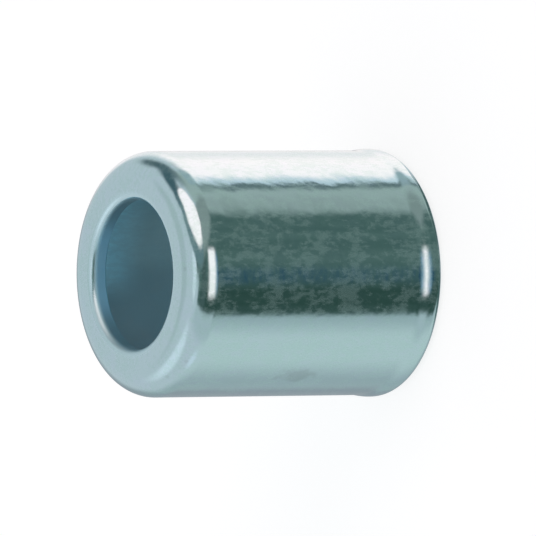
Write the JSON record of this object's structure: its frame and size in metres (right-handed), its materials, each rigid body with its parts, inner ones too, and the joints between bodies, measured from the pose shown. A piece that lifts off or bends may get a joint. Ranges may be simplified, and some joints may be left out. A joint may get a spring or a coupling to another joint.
{
  "type": "hose ferrule",
  "caption": "Round metal sleeve with a rounded shoulder, an inward lip at one end and a slight rim at the other, crimped over a hydraulic hose to lock it onto a stem.",
  "frame": {"origin": "centre of the open end, on the plane of the end face that the ferrule stands on", "axes": "+Z along the bore axis, from the open end towards the lip; X and Y are free, because the part is a body of revolution"},
  "size_m": [0.0244, 0.0244, 0.0285],
  "materials": {
    "zinc_plate": "bright clear-blue zinc plate on turned steel, glossy with a slight waviness"
  },
  "bodies": {
    "root": {"ferrule": "zinc_plate"}
  },
  "joints": []
}
